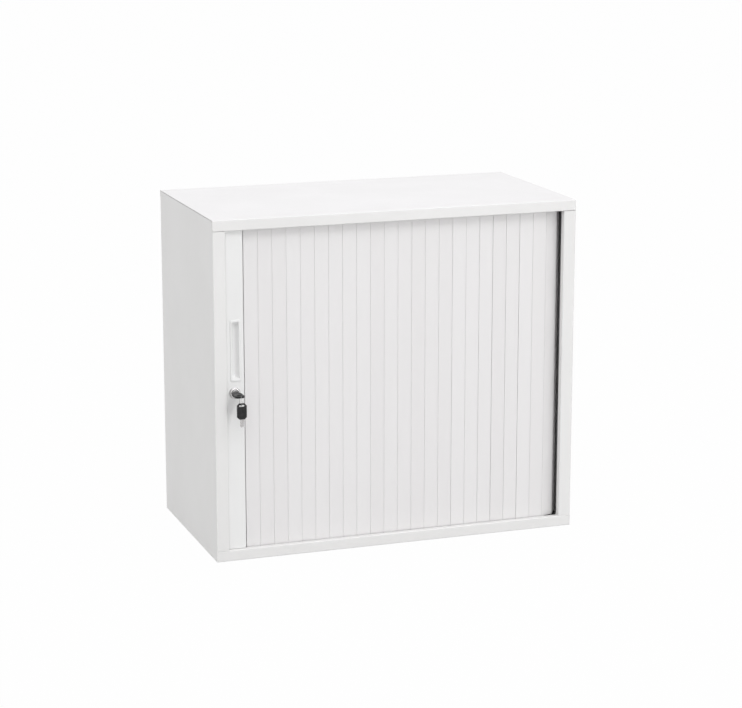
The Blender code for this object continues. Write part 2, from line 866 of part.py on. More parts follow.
def cam_outline():
    """A hub and an arm that hangs down, with a hook at its end towards the left."""
    hub_side = math.acos(CAM_HALF_WIDTH / CAM_HUB_RADIUS)
    hook_tip = -math.pi / 2 - HOOK_ANGLE
    inner_side = -math.pi / 2 - math.asin(CAM_HALF_WIDTH / HOOK_INNER)
    outer_side = -math.pi / 2 + math.asin(CAM_HALF_WIDTH / HOOK_OUTER)
    outline = arc(lock_centre, CAM_HUB_RADIUS, -hub_side, math.pi + hub_side, TURN_STEPS)
    outline += arc(lock_centre, HOOK_INNER, inner_side, hook_tip, BEND_STEPS)
    outline += arc(lock_centre, HOOK_OUTER, hook_tip, outer_side, ROUND_STEPS)
    return outline


lock_cam = front_piece(
    "lock_cam",
    [cam_outline(), circle(lock_centre, TENON_RADIUS + GAP)],
    stile_face + cam_front,
    stile_face + cam_back,
    zinc_steel,
)
strike_middle = stile_face + (cam_front + cam_back) / 2
strike_corners = [
    (left_wall + STRIKE_REACH, STRIKE_LEVEL - STRIKE_DROP),
    (left_wall + STRIKE_REACH, STRIKE_LEVEL),
    (left_wall, STRIKE_LEVEL),
    (left_wall, STRIKE_LEVEL + STRIKE_BASE),
]
folded_sheet(
    "strike_plate",
    strike_corners,
    ELEVATION,
    -strike_middle - STRIKE_WIDTH / 2,
    STRIKE_WIDTH / 2 - strike_middle,
    zinc_steel,
)


# Key in the lock, the ring through its bow and the second key that hangs from the ring

def bow_loops(x, end, inward):
    """A chamfered bow with a rounded hole near its end, drawn inwards from the end along the key."""
    half = KEY_WIDTH / 2
    other = end + inward * KEY_BOW_LENGTH
    near = end + inward * KEY_CHAMFER
    far = other - inward * KEY_CHAMFER
    outline = [
        (x - half + KEY_CHAMFER, end),
        (x + half - KEY_CHAMFER, end),
        (x + half, near),
        (x + half, far),
        (x + half - KEY_CHAMFER, other),
        (x - half + KEY_CHAMFER, other),
        (x - half, far),
        (x - half, near),
    ]
    hole_centre = (x, end + inward * (KEY_RIM + KEY_HOLE_LENGTH / 2))
    return [outline, rounded_rectangle(hole_centre, KEY_HOLE_WIDTH, KEY_HOLE_LENGTH, CUP_ROUND)]


bow_start = stile_face + barrel_front - KEY_STAND
bow_end = bow_start - KEY_BOW_LENGTH
blade_low = LOCK_LEVEL - BLADE_THICKNESS / 2
blade_high = LOCK_LEVEL + BLADE_THICKNESS / 2
blade_left = lock_x - BLADE_WIDTH / 2
blade_right = lock_x + BLADE_WIDTH / 2
blade_tip = bow_start + BLADE_LENGTH
key_blade = box(
    "key_blade",
    (blade_left, bow_start - BLADE_SEAT, blade_low),
    (blade_right, blade_tip, blade_high),
    lock_metal,
)
cut(lock_barrel, box(
    "keyway",
    (blade_left - GAP, bow_start, blade_low - GAP),
    (blade_right + GAP, blade_tip + GAP, blade_high + GAP),
    lock_metal,
))
key_bow = flat_piece(
    "key_bow",
    bow_loops(lock_x, bow_end, 1),
    PLAN,
    LOCK_LEVEL - KEY_THICKNESS / 2,
    LOCK_LEVEL + KEY_THICKNESS / 2,
    key_plastic,
)
cut(key_bow, box(
    "key_bow_socket",
    (blade_left - GAP, bow_start - BLADE_SEAT - GAP, blade_low - GAP),
    (blade_right + GAP, bow_start + OVERRUN, blade_high + GAP),
    key_plastic,
))

ring_x = lock_x + RING_OFFSET
ring_y = bow_end + KEY_RIM / 2
ring_top = LOCK_LEVEL + KEY_THICKNESS / 2 + RING_HANG + RING_WIRE
ring_low = ring_top - 2 * RING_RADIUS
bpy.ops.mesh.primitive_torus_add(
    major_segments=RING_SEGMENTS,
    minor_segments=WIRE_SEGMENTS,
    major_radius=RING_RADIUS,
    minor_radius=RING_WIRE,
    location=(ring_x, ring_y, ring_top - RING_RADIUS),
    rotation=(0.0, math.pi / 2, 0.0),
)
key_ring = bpy.context.object
key_ring.name = "key_ring"
key_ring.data.materials.append(lock_metal)
for owner in list(key_ring.users_collection):
    owner.objects.unlink(key_ring)
parts.objects.link(key_ring)

spare_x = ring_x + SPARE_OFFSET
spare_top = ring_low + SPARE_HANG + KEY_RIM
spare_bottom = spare_top - KEY_BOW_LENGTH
spare_left = spare_x - BLADE_WIDTH / 2
spare_right = spare_x + BLADE_WIDTH / 2
spare_front = ring_y - BLADE_THICKNESS / 2
spare_back = ring_y + BLADE_THICKNESS / 2
spare_key_blade = box(
    "spare_key_blade",
    (spare_left, spare_front, spare_bottom - BLADE_LENGTH),
    (spare_right, spare_back, spare_bottom + BLADE_SEAT),
    lock_metal,
)
spare_key_bow = front_piece(
    "spare_key_bow",
    bow_loops(spare_x, spare_top, -1),
    ring_y - KEY_THICKNESS / 2,
    ring_y + KEY_THICKNESS / 2,
    key_plastic,
)
cut(spare_key_bow, box(
    "spare_key_bow_socket",
    (spare_left - GAP, spare_front - GAP, spare_bottom - OVERRUN),
    (spare_right + GAP, spare_back + GAP, spare_bottom + BLADE_SEAT + GAP),
    key_plastic,
))


# What moves hangs on empties that stand on the joints' axes

door_pull = pivot("door_pull", (stile_left, stile_face, 0.0))
lock_axis = pivot("lock_axis", lock_place)
key_axis = pivot("key_axis", (lock_x, bow_start, LOCK_LEVEL))
ring_axis = pivot("ring_axis", (ring_x, ring_y, ring_top))
spare_axis = pivot("spare_axis", (ring_x, ring_y, ring_low))
corner_axis = pivot("corner_axis", (front_corner.x, front_corner.y, 0.0))
hang_on(door_pull, lead_stile, shoe_bottom, shoe_top, handle_cup)
hang_on(door_pull, lock_rosette, lock_housing, lock_nut, lock_axis)
hang_on(lock_axis, lock_barrel, lock_cam, cam_screw, key_axis)
hang_on(key_axis, key_blade, key_bow, ring_axis)
hang_on(ring_axis, key_ring, spare_axis)
hang_on(spare_axis, spare_key_blade, spare_key_bow)
hang_on(corner_axis, *slats[FLAT_SLATS:FLAT_SLATS + 2])
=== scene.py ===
"""Looks of a white tambour door cabinet: its finishes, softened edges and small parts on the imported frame.

Metres, in the frame's axes: x runs to the right, y to the back and z up.
"""
import json
import math
import random

import bmesh
import bpy
from mathutils import Matrix, Vector

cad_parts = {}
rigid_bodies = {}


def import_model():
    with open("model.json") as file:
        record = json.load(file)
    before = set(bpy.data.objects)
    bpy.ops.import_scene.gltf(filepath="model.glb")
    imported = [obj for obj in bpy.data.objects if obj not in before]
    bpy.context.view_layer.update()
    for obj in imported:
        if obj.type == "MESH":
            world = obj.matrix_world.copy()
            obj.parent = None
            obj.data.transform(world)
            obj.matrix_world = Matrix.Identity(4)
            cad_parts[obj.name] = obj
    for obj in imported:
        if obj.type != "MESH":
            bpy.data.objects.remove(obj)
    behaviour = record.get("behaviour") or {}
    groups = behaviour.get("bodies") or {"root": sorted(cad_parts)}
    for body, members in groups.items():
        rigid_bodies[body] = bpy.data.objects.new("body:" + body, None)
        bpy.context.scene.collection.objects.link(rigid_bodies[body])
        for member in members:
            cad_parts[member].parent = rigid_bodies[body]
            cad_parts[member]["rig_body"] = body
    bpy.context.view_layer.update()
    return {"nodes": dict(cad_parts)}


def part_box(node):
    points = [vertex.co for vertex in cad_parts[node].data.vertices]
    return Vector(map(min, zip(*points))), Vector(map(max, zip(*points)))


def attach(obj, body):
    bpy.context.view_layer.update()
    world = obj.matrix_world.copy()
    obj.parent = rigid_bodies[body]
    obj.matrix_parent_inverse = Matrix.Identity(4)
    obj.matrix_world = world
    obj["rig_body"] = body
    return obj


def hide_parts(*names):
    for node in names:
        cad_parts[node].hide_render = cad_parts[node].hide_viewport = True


# Folded sheet of the carcass
SHEET = 0.001
BEND = 0.0018
BEND_STEPS = 6
LIP = 0.023
LIP_RETURN = 0.0135
LIP_FOOT = 0.012
LIP_CORNER = 0.0026
SIDE_FLANGE = 0.027
SIDE_RETURN = 0.014
BACK_FLANGE = 0.015
FLOOR_LEVEL = 0.012
EDGE_PLAY = 0.0015
GAP = 0.0003
SEAM = 0.0009
LIP_SEAM = 0.0014
FOOT_SEAM = 0.00015
SHEET_EDGE = 0.0002

# Curtain
FLAT_SLATS = 22
CORNER_SLATS = 3
SLAT_FLANK = 0.0027
LAP_WIDTH = 0.0003
LAP_DEPTH = 0.00025
LAP_THICKNESS = 0.0010
# The joints gain slack towards the corner, where the curtain is pushed together
JOINT_SLACKS = (0.00008, 0.0002, 0.00035)
JOINT_SPREAD = 1.5
JOINT_SEED = 1039
CORNER_RADIUS = 0.046
PEG = 0.0026
PEG_INSET = 0.0062
TRACK_TUCK = 0.002
SLAT_EDGE = 0.0003
SLAT_BACK_EDGE = 0.0005
SLAT_END_EDGE = 0.0003
SLAT_EDGE_STEPS = 4
HALVINGS = 50

# Lead stile
STILE_STRIP = 0.0023
STILE_PLAY = 0.0006
STILE_WALL = 0.0015
STILE_BEND = 0.0017
STILE_EDGE = 0.0003

# Handle cup
CUP_WIDTH = 0.022
CUP_HEIGHT = 0.130
CUP_BORDER = 0.0037
CUP_END_BORDER = 0.006
CUP_WALL = 0.0012
CUP_ROUND = 0.002
CUP_BEAD = 0.001
# How far the recess comes in from its left, right, bottom and top edges down to its floor
CUP_SLOPES = (0.0035, 0.0085, 0.0035, 0.0015)
FILLET_STEPS = 5
CORNER_STEPS = 6

# Lock
LOCK_STEP = 0.0004
LOCK_EDGE = LOCK_STEP / 4
HOUSING_RADIUS = 0.0090
HOUSING_FLANGE_HEIGHT = 0.0019
TENON_RADIUS = 0.0030
CAM_THICKNESS = 0.002
CAM_SCREW_BORE = 0.0018
CAM_SCREW_DEPTH = 0.006
# Radius at which the barrel's skin closes on its axis
AXIS_RADIUS = 0.00001
KEYWAY_WIDTH = 0.0091
KEYWAY_HEIGHT = 0.0026
TURN_STEPS = 64

# Keys and their ring
BLADE_TOOTH = 0.0012
# Where a blade's edge is cut, from the bow to the tip, and how deep each cut is of a whole tooth
BLADE_CUT_SHARES = (0.55, 0.62, 0.68, 0.75, 0.81, 0.88)
BLADE_DEPTH_SHARES = (0.0, 0.9, 0.35, 1.0, 0.2, 0.8)
BLADE_EDGE = 0.0001
BLADE_GROOVE = 0.0006
GROOVE_OFFSET = 1.2 * BLADE_TOOTH
GROOVE_ROUND = BLADE_TOOTH / 3
GROOVE_LENGTH_SHARE = 0.9
KEY_RIM = 0.0035
# A bow's hole: its distance from the end, its width and its length
KEY_HOLE = (0.0035, 0.009, 0.0085)
SPARE_KEY_HOLE = (0.003, 0.012, 0.0043)
KEY_DISH = 0.00015
# Corner radius of a bow's hole and dishes
KEY_ROUND = 0.002
KEY_CHAMFER = 0.0045
KEY_EDGE = 0.0007
KEY_EDGE_SEGMENTS = 3
RING_RADIUS = 0.0105
RING_WIRE = 0.0003
RING_TURNS = 2
RING_SEGMENTS = 64
WIRE_SEGMENTS = 12

# Softened edges: the least angle that counts as an edge, and how far flat faces rule the shading
EDGE_SEGMENTS = 2
EDGE_ANGLE = math.radians(35)
LOCK_EDGE_ANGLE = math.radians(20)
FACE_WEIGHT = 60
# A turn below this angle counts as straight
STRAIGHT_TURN = 1e-6

# Dark and light tone of each finish
COAT_TONES = ((0.757, 0.753, 0.745), (0.777, 0.773, 0.766))
SLAT_TONES = ((0.750, 0.738, 0.738), (0.772, 0.763, 0.763))
STILE_TONES = ((0.785, 0.786, 0.782), (0.81, 0.811, 0.806))
CUP_TONES = ((0.78, 0.781, 0.778), (0.805, 0.806, 0.803))
TRACK_TONES = ((0.012, 0.012, 0.013), (0.030, 0.030, 0.031))
BOW_TONES = ((0.012, 0.012, 0.013), (0.024, 0.024, 0.025))
NICKEL_TONES = ((0.58, 0.57, 0.57), (0.70, 0.69, 0.69))
BLADE_TONES = ((0.44, 0.43, 0.43), (0.53, 0.52, 0.52))
RING_TONES = ((0.30, 0.30, 0.30), (0.38, 0.38, 0.38))
ZINC_TONES = ((0.50, 0.51, 0.52), (0.64, 0.64, 0.63))

# Height of each finish's relief
COAT_PEEL = 0.00003
COAT_GRAIN = 0.000006
SLAT_LINES = 0.00001
SLAT_GRAIN = 0.000008
STILE_LINES = 0.000008
STILE_GRAIN = 0.000006
CUP_GRAIN = 0.000012
TRACK_GRAIN = 0.00001
BOW_GRAIN = 0.00003
POLISH_MARKS = 0.000008
ZINC_GRAIN = 0.000008
FLOOR_GRAIN = 0.0002

# Light. A lamp has its share of a white surface that faces it, its bearing to the right and its height,
# both in degrees
AMBIENT = 0.715
KEY_LIGHT = (0.14, 21, 2)
KEY_DISTANCE = 5.0
KEY_SIZE = (0.7, 0.7)
SIDE_LIGHT = (0.185, -90, 8)
SIDE_ANGLE = math.radians(50)
FILL_LIGHT = (0.07, -8, 6)
FILL_DISTANCE = 12.0
FILL_SIZE = (8.0, 6.0)
STRIP_LIGHT = (0.38, 4, 53)
STRIP_DISTANCE = 12.0
STRIP_SIZE = (16.0, 5.0)
TOP_LIGHT = (0.17, 0, 84)
TOP_DISTANCE = 2.6
TOP_SIZE = (1.8, 1.8)
TOP_COLOUR = (0.91, 0.87, 1.0)
SUN_DISTANCE = 1.0
WHITE = (1.0, 1.0, 1.0)

# Floor, which reaches as far to each side
FLOOR_REACH = 15.0
FLOOR_DROP = 0.0004
FLOOR_COLOUR = (0.45, 0.45, 0.45, 1.0)
FLOOR_SHOWN = 0.985

# Camera, with the sensor's width in millimetres
IMAGE_WIDTH = 742
SENSOR_WIDTH = 36.0
FOCAL_PIXELS = 2332.1
CAMERA_YAW = math.radians(19.40)
CAMERA_PITCH = math.radians(13.07)
CAMERA_DISTANCE = 5.094
CAMERA_AIM = Vector((0.0125, 0.0, 0.3678))

OVERRUN = 0.005
# The planes that outlines are drawn on: two axes across and the one that they are drawn out along
PLAN = (Vector((1, 0, 0)), Vector((0, 1, 0)), Vector((0, 0, 1)))
PROFILE = (Vector((0, 1, 0)), Vector((0, 0, 1)), Vector((1, 0, 0)))
ELEVATION = (Vector((1, 0, 0)), Vector((0, 0, 1)), Vector((0, -1, 0)))

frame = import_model()
carcass_low, carcass_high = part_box("top_panel")
FRONT = carcass_low.y
REAR = carcass_high.y
SIDE = carcass_high.x
HEIGHT = carcass_high.z
ROOF = HEIGHT - SHEET


# Materials

def add_node(material, kind, inputs=None, **settings):
    """A node with its settings, whose inputs take a value or another node's output."""
    made = material.node_tree.nodes.new(kind)
    for name, value in settings.items():
        setattr(made, name, value)
    for name, value in (inputs or {}).items():
        if isinstance(value, bpy.types.NodeSocket):
            material.node_tree.links.new(value, made.inputs[name])
        else:
            made.inputs[name].default_value = value
    return made


def new_material(name, roughness, metallic=0.0, **sockets):
    """A material whose shader takes plain values, with an underscore for each space in a socket's name."""
    material = bpy.data.materials.new(name)
    material.use_nodes = True
    shader = material.node_tree.nodes["Principled BSDF"]
    shader.inputs["Roughness"].default_value = roughness
    shader.inputs["Metallic"].default_value = metallic
    for socket, value in sockets.items():
        shader.inputs[socket.replace("_", " ")].default_value = value
    return material


def feed_shader(material, socket, output):
    shader = material.node_tree.nodes["Principled BSDF"]
    material.node_tree.links.new(output, shader.inputs[socket])


def noise(material, scale, detail=2.0, stretch=(1.0, 1.0, 1.0)):
    """Noise in the object's own metres, drawn out along the axes with a small stretch."""
    place = add_node(material, "ShaderNodeTexCoord").outputs["Object"]
    place = add_node(material, "ShaderNodeMapping", {"Vector": place, "Scale": stretch}).outputs["Vector"]
    wanted = {"Vector": place, "Scale": scale, "Detail": detail}
    return add_node(material, "ShaderNodeTexNoise", wanted).outputs["Fac"]


def colour_between(material, factor, tones, low=0.35, high=0.65):
    """Base colour that runs between two tones as the factor goes from low to high."""
    dark, light = tones
    ramp = add_node(material, "ShaderNodeValToRGB", {"Fac": factor})
    first, last = ramp.color_ramp.elements
    first.position = low
    first.color = (*dark, 1.0)
    last.position = high
    last.color = (*light, 1.0)
    feed_shader(material, "Base Color", ramp.outputs["Color"])


def roughness_between(material, factor, low, high):
    wanted = {"Value": factor, "To Min": low, "To Max": high}
    spread = add_node(material, "ShaderNodeMapRange", wanted)
    feed_shader(material, "Roughness", spread.outputs["Result"])


def bumps(material, *heights):
    """Layers of relief, each a factor and its height in metres."""
    normal = None
    for factor, height in heights:
        wanted = {"Height": factor, "Distance": height, "Strength": 1.0}
        if normal:
            wanted["Normal"] = normal
        normal = add_node(material, "ShaderNodeBump", wanted).outputs["Normal"]
    feed_shader(material, "Normal", normal)


def powder_coat():
    """White powder coat: a fine orange peel, and a film that varies a little over a panel."""
    coat = new_material("powder_coat", roughness=0.42, Specular_IOR_Level=0.4)
    film = noise(coat, scale=7.0, detail=3.0)
    peel = noise(coat, scale=420.0)
    colour_between(coat, film, COAT_TONES)
    roughness_between(coat, noise(coat, scale=60.0, detail=3.0), low=0.36, high=0.48)
    bumps(coat, (peel, COAT_PEEL), (noise(coat, scale=1500.0), COAT_GRAIN))
    return coat


def slat_finish():
    """Extruded slat plastic, with fine draw lines and a small difference from slat to slat."""
    plastic = new_material("slat_plastic", roughness=0.45, Specular_IOR_Level=0.35)
    lines = noise(plastic, scale=900.0, detail=3.0, stretch=(1.0, 1.0, 0.004))
    cloud = noise(plastic, scale=14.0, stretch=(1.0, 1.0, 0.25))
    single = add_node(plastic, "ShaderNodeObjectInfo").outputs["Random"]
    both = add_node(plastic, "ShaderNodeMath", {0: cloud, 1: single}, operation="ADD").outputs[0]
    half = add_node(plastic, "ShaderNodeMath", {0: both, 1: 0.5}, operation="MULTIPLY").outputs[0]
    colour_between(plastic, half, SLAT_TONES, low=0.2, high=0.8)
    roughness_between(plastic, lines, low=0.38, high=0.52)
    bumps(plastic, (lines, SLAT_LINES), (noise(plastic, scale=700.0), SLAT_GRAIN))
    return plastic


def stile_finish():
    """Extruded plastic of the upright: whiter and smoother than the slats."""
    plastic = new_material("stile_plastic", roughness=0.4, Specular_IOR_Level=0.4)
    lines = noise(plastic, scale=700.0, detail=3.0, stretch=(1.0, 1.0, 0.004))
    cloud = noise(plastic, scale=11.0, stretch=(1.0, 1.0, 0.3))
    colour_between(plastic, cloud, STILE_TONES)
    roughness_between(plastic, lines, low=0.34, high=0.46)
    bumps(plastic, (lines, STILE_LINES), (noise(plastic, scale=900.0), STILE_GRAIN))
    return plastic


def moulded_finish():
    """White moulded plastic of the handle cup, with a fine even grain."""
    plastic = new_material("cup_plastic", roughness=0.42, Specular_IOR_Level=0.4)
    colour_between(plastic, noise(plastic, scale=25.0), CUP_TONES)
    roughness_between(plastic, noise(plastic, scale=300.0), low=0.36, high=0.46)
    bumps(plastic, (noise(plastic, scale=1800.0), CUP_GRAIN))
    return plastic


def track_finish():
    """Black extruded plastic with faint scuffs where the pegs run."""
    plastic = new_material("track_plastic", roughness=0.45)
    scuffs = noise(plastic, scale=90.0, detail=4.0, stretch=(0.15, 0.15, 1.0))
    colour_between(plastic, scuffs, TRACK_TONES, low=0.4, high=0.8)
    roughness_between(plastic, scuffs, low=0.38, high=0.6)
    bumps(plastic, (noise(plastic, scale=800.0), TRACK_GRAIN))
    return plastic


def key_finish():
    """Black moulded plastic of the key bows: a spark-eroded grain with a slight sheen."""
    plastic = new_material("key_plastic", roughness=0.4, Specular_IOR_Level=0.2)
    grain = noise(plastic, scale=2200.0)
    colour_between(plastic, noise(plastic, scale=160.0, detail=3.0), BOW_TONES)
    roughness_between(plastic, grain, low=0.34, high=0.5)
    bumps(plastic, (grain, BOW_GRAIN))
    return plastic


def plated_finish(name, tones):
    """Plate over turned or stamped metal, with faint polishing marks."""
    metal = new_material(name, roughness=0.2, metallic=1.0)
    marks = noise(metal, scale=1500.0, detail=3.0, stretch=(1.0, 0.05, 1.0))
    colour_between(metal, noise(metal, scale=200.0, detail=3.0), tones)
    roughness_between(metal, marks, low=0.14, high=0.3)
    bumps(metal, (marks, POLISH_MARKS))
    return metal


def zinc_finish():
    """Zinc-plated steel with its pale spangle."""
    metal = new_material("zinc", roughness=0.35, metallic=1.0)
    place = add_node(metal, "ShaderNodeTexCoord").outputs["Object"]
    spangle = add_node(metal, "ShaderNodeTexVoronoi", {"Vector": place, "Scale": 380.0})
    colour_between(metal, spangle.outputs["Distance"], ZINC_TONES, low=0.1, high=0.7)
    roughness_between(metal, noise(metal, scale=500.0, detail=3.0), low=0.28, high=0.45)
    bumps(metal, (noise(metal, scale=1200.0), ZINC_GRAIN))
    return metal


white_coat = powder_coat()
slat_white = slat_finish()
stile_white = stile_finish()
cup_white = moulded_finish()
track_black = track_finish()
key_black = key_finish()
nickel = plated_finish("nickel", NICKEL_TONES)
key_steel = plated_finish("key_steel", BLADE_TONES)
ring_steel = plated_finish("ring_steel", RING_TONES)
zinc = zinc_finish()

CARRIED_OVER = {
    white_coat: ("back_panel", "base_channel", "side_liner", "back_liner", "shelf"),
    track_black: (
        "top_track_front", "top_track_corner", "top_track_rear",
        "bottom_track_front", "bottom_track_corner", "bottom_track_rear",
        "stile_shoe_top", "stile_shoe_bottom",
    ),
    zinc: (
        "shelf_clip_front_left", "shelf_clip_front_right", "shelf_clip_rear_left", "shelf_clip_rear_right",
        "lock_nut", "lock_cam", "cam_screw", "strike_plate",
    ),
}


def finish_node(name, material):
    node = frame["nodes"][name]
    node.data.materials.clear()
    node.data.materials.append(material)


for material, names in CARRIED_OVER.items():
    for name in names:
        finish_node(name, material)


# Mesh helpers

def arc(centre, radius, start, end, steps):
    """Points on an arc, angles counted from the first axis towards the second."""
    angles = [start + (end - start) * step / steps for step in range(steps + 1)]
    return [Vector(centre) + radius * Vector((math.cos(angle), math.sin(angle))) for angle in angles]


def rounded_rectangle(centre, width, height, radius):
    points = []
    for turn, (side, end) in enumerate(((1, 1), (-1, 1), (-1, -1), (1, -1))):
        corner = (centre[0] + side * (width / 2 - radius), centre[1] + end * (height / 2 - radius))
        points += arc(corner, radius, turn * math.pi / 2, (turn + 1) * math.pi / 2, CORNER_STEPS)
    return points


def rounded_polygon(corners, radii, steps):
    """A closed outline with each corner turned into an arc of its own radius, or kept at radius zero."""
    corners = [Vector(corner) for corner in corners]
    points = []
    for index, (corner, radius) in enumerate(zip(corners, radii)):
        into = (corner - corners[index - 1]).normalized()
        out = (corners[(index + 1) % len(corners)] - corner).normalized()
        turn = math.atan2(into.x * out.y - into.y * out.x, into.dot(out))
        if radius == 0.0 or abs(turn) < STRAIGHT_TURN:
            points.append(corner)
            continue
        start = corner - into * radius * math.tan(abs(turn) / 2)
        inward = Vector((-into.y, into.x)) * math.copysign(radius, turn)
        for step in range(steps + 1):
            points.append(start + inward + Matrix.Rotation(turn * step / steps, 2) @ -inward)
    return points


def sheet_outline(corners, radius, thickness):
    """The section of a sheet bent along corners, with its thickness right of the line."""
    corners = [Vector(corner) for corner in corners]
    headings = [(after - before).normalized() for before, after in zip(corners, corners[1:])]
    headings = [headings[0]] + headings + [headings[-1]]
    other = []
    other_radii = []
    for corner, into, out in zip(corners, headings, headings[1:]):
        turn = into.x * out.y - into.y * out.x
        normal = Vector((into.y + out.y, -into.x - out.x)).normalized()
        reach = thickness / normal.dot(Vector((into.y, -into.x)))
        other.append(corner + normal * reach)
        other_radii.append(0.0 if abs(turn) < STRAIGHT_TURN else radius + math.copysign(thickness, turn))
    line_radii = [0.0 if side == 0.0 else radius for side in other_radii]
    return rounded_polygon(corners + other[::-1], line_radii + other_radii[::-1], BEND_STEPS)


def add_object(name, data):
    made = bpy.data.objects.new(name, data)
    bpy.context.scene.collection.objects.link(made)
    return made


def new_piece(name, work, material):
    """An object from a bmesh, with its faces turned outwards and shaded smooth."""
    bmesh.ops.recalc_face_normals(work, faces=work.faces[:])
    for face in work.faces:
        face.smooth = True
    mesh = bpy.data.meshes.new(name)
    work.to_mesh(mesh)
    work.free()
    mesh.materials.append(material)
    return add_object(name, mesh)


def loft(name, rings, material, closed=False):
    """Rings of as many points each, joined one to the next and capped at the ends, or closed into a loop."""
    work = bmesh.new()
    loops = [[work.verts.new(point) for point in ring] for ring in rings]
    following = loops[1:] + loops[:1] if closed else loops[1:]
    for near, far in zip(loops, following):
        for index, vert in enumerate(near):
            work.faces.new((near[index - 1], vert, far[index], far[index - 1]))
    if not closed:
        work.faces.new(loops[0])
        work.faces.new(loops[-1])
    return new_piece(name, work, material)


def on_plane(outline, plane, height):
    """An outline's points in space, at a height along the plane's third axis."""
    u, v, w = plane
    return [u * point[0] + v * point[1] + w * height for point in outline]


def prism(name, outline, plane, start, end, material):
    """An outline drawn out square to its plane."""
    return loft(name, [on_plane(outline, plane, start), on_plane(outline, plane, end)], material)


def block(name, low, high, material):
    """A box between two opposite corners."""
    outline = [(low[0], low[1]), (high[0], low[1]), (high[0], high[1]), (low[0], high[1])]
    return prism(name, outline, PLAN, low[2], high[2], material)


def carve(piece, *tools, operation="DIFFERENCE"):
    """Cut the tools out of a piece, or join them to it, and drop them."""
    for tool in tools:
        step = piece.modifiers.new("carve", "BOOLEAN")
        step.operation = operation
        step.solver = "EXACT"
        step.object = tool
    bpy.context.view_layer.update()
    graph = bpy.context.evaluated_depsgraph_get()
    mesh = bpy.data.meshes.new_from_object(piece.evaluated_get(graph))
    piece.modifiers.clear()
    piece.data = mesh
    for tool in tools:
        bpy.data.objects.remove(tool)


def soften(piece, width, segments=EDGE_SEGMENTS, limit=EDGE_ANGLE):
    """Round the sharp edges and keep the flat faces flat in the shading."""
    edge = piece.modifiers.new("edge", "BEVEL")
    edge.width = width
    edge.segments = segments
    edge.limit_method = "ANGLE"
    edge.angle_limit = limit
    edge.use_clamp_overlap = True
    shading = piece.modifiers.new("shading", "WEIGHTED_NORMAL")
    shading.weight = FACE_WEIGHT
    return piece


def stand_for(piece, node):
    """Put a detailed piece in a node's place, on the node's body."""
    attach(piece, frame["nodes"][node]["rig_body"])
    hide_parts(node)


# Carcass panels, folded with finer bends

def mirrored(side, near, far):
    """The range from near to far on one side of the middle, lowest first."""
    return min(side * near, side * far), max(side * near, side * far)


def inner_ends(low, high):
    """Blocks that cut a full-width sheet back between the two sides, over a range of y and z."""
    tools = []
    for side in (-1, 1):
        near, far = mirrored(side, SIDE - EDGE_PLAY, SIDE + OVERRUN)
        tools.append(block("end_cut", (near, *low), (far, *high), white_coat))
    return tools


def make_side(node, side):
    """A side with its flanges, cut back where the lips, the top and the floor plate pass."""
    corners = [
        (side * (SIDE - SIDE_FLANGE), FRONT + SIDE_RETURN),
        (side * (SIDE - SIDE_FLANGE), FRONT),
        (side * SIDE, FRONT),
        (side * SIDE, REAR),
        (side * (SIDE - BACK_FLANGE), REAR),
    ]
    if side > 0:
        corners.reverse()
    section = sheet_outline(corners, BEND, SHEET)
    panel = prism(node + "_panel", section, PLAN, 0.0, ROOF - SEAM, white_coat)
    whole = mirrored(side, SIDE - SIDE_FLANGE - OVERRUN, SIDE + OVERRUN)
    inside = mirrored(side, SIDE - SIDE_FLANGE - OVERRUN, SIDE - EDGE_PLAY)
    front = FRONT - OVERRUN
    return_back = FRONT + SIDE_RETURN + OVERRUN
    flange_front = REAR - SHEET - GAP
    rear = REAR + OVERRUN
    top_lip = (HEIGHT - LIP - GAP, HEIGHT + OVERRUN, LIP_SEAM)
    base_lip = (-OVERRUN, LIP + FOOT_SEAM, GAP)
    tools = []
    for low, high, play in (top_lip, base_lip):
        lip_back = FRONT + SHEET + play
        tools.append(block("cut", (whole[0], front, low), (whole[1], lip_back, high), white_coat))
        tools.append(block("cut", (inside[0], front, low), (inside[1], return_back, high), white_coat))
    top = HEIGHT - BACK_FLANGE - GAP
    tools.append(block("cut", (whole[0], flange_front, top), (whole[1], rear, HEIGHT), white_coat))
    base = FLOOR_LEVEL + GAP
    plate_cut = (inside[0], flange_front - OVERRUN, -OVERRUN)
    tools.append(block("cut", plate_cut, (inside[1], rear, base), white_coat))
    carve(panel, *tools)
    stand_for(soften(panel, SHEET_EDGE), node)


make_side("left_side", -1)
make_side("right_side", 1)

lip_level = HEIGHT - LIP
top_line = [
    (FRONT + LIP_RETURN, lip_level),
    (FRONT, lip_level),
    (FRONT, HEIGHT),
    (REAR, HEIGHT),
    (REAR, HEIGHT - BACK_FLANGE),
]
top_section = sheet_outline(top_line, BEND, SHEET)
top_sheet = prism("top_panel_sheet", top_section, PROFILE, -SIDE, SIDE, white_coat)
carve(top_sheet, *inner_ends(
    (FRONT + SHEET, lip_level - OVERRUN),
    (FRONT + LIP_RETURN + OVERRUN, lip_level + BEND),
))
front_shape = rounded_polygon(
    [(-SIDE, lip_level), (SIDE, lip_level), (SIDE, HEIGHT + OVERRUN), (-SIDE, HEIGHT + OVERRUN)],
    [LIP_CORNER, LIP_CORNER, 0.0, 0.0],
    CORNER_STEPS,
)
carve(
    top_sheet,
    prism("front_shape", front_shape, ELEVATION, -REAR - OVERRUN, -FRONT + OVERRUN, white_coat),
    operation="INTERSECT",
)
stand_for(soften(top_sheet, SHEET_EDGE), "top_panel")

